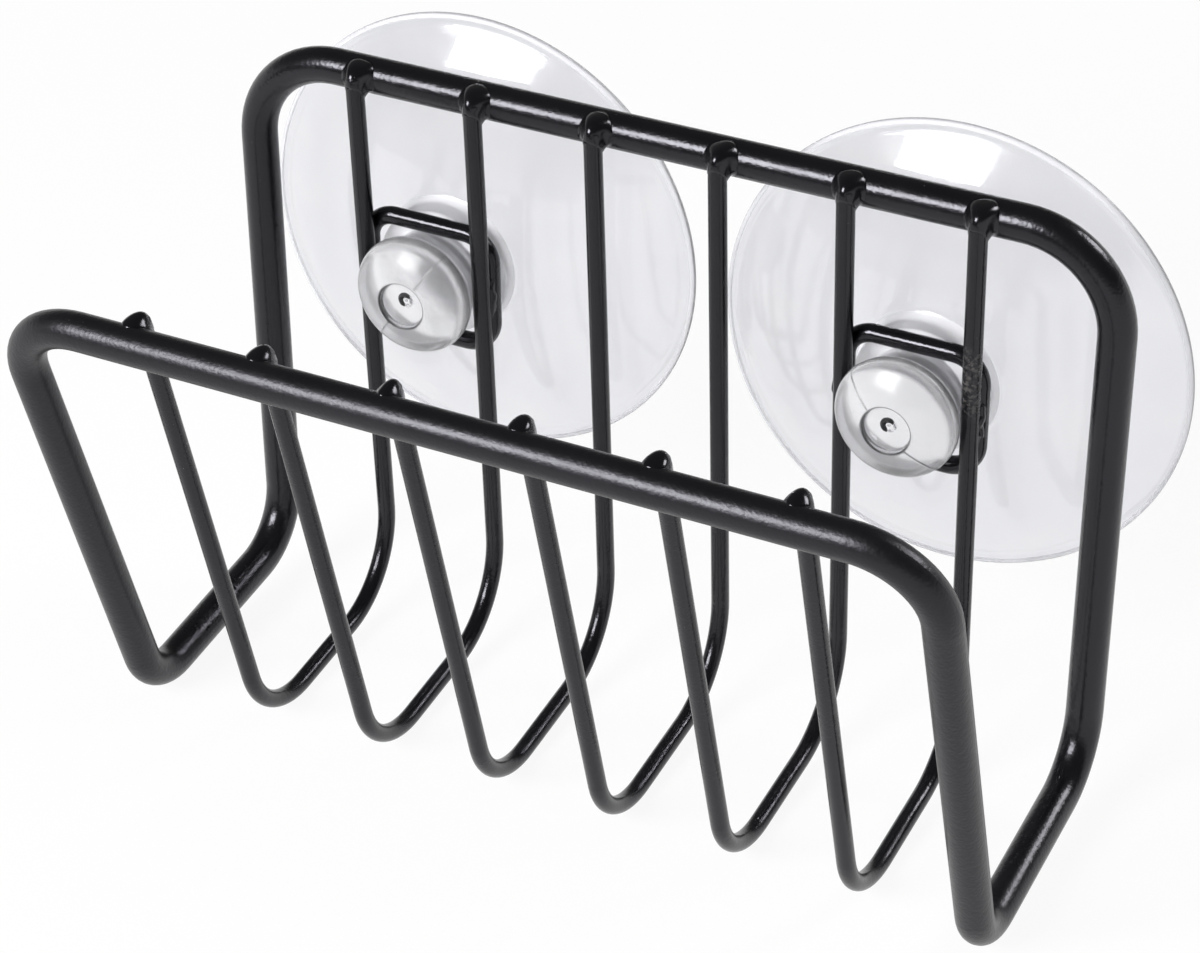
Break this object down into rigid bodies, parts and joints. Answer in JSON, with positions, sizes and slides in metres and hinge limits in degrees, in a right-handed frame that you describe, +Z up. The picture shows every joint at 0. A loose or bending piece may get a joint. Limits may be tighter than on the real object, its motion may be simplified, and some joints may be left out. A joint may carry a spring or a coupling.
{
  "type": "sponge holder",
  "caption": "Open basket of coated wire for a kitchen sponge, hung on a smooth wall by clear suction cups whose knobs push through square wire rings.",
  "frame": {"origin": "on the wall plane that both cup lips touch, midway between the axes of the cups", "axes": "+X to the right along the wall, +Y into the wall, +Z up"},
  "size_m": [0.1368, 0.0765, 0.0888],
  "materials": {
    "frame_coat": "satin black powder coat on steel wire",
    "rib_coat": "satin black powder coat on thin steel wire",
    "weld_coat": "black powder coat, pooled and glossier over the weld beads",
    "clear_pvc": "clear soft PVC with a faint grey-lilac tint, glossy"
  },
  "bodies": {
    "basket": {"frame_wire": "frame_coat", "rib_1": "rib_coat", "rib_2": "rib_coat", "rib_3": "rib_coat", "rib_4": "rib_coat", "rib_5": "rib_coat", "rib_6": "rib_coat", "left_cup_ring": "rib_coat", "right_cup_ring": "rib_coat", "back_rail_welds": "weld_coat", "front_rail_welds": "weld_coat", "left_ring_welds": "weld_coat", "right_ring_welds": "weld_coat"},
    "left_cup": {"left_suction_cup": "clear_pvc"},
    "right_cup": {"right_suction_cup": "clear_pvc"}
  },
  "joints": [
    {"name": "left_cup_turn", "type": "hinge", "parent": "basket", "child": "left_cup", "pos_m": [-0.03543, -0.0152, 0], "axis": [0, 1, 0], "continuous": true},
    {"name": "right_cup_turn", "type": "hinge", "parent": "basket", "child": "right_cup", "pos_m": [0.03543, -0.0152, 0], "axis": [0, 1, 0], "continuous": true}
  ]
}
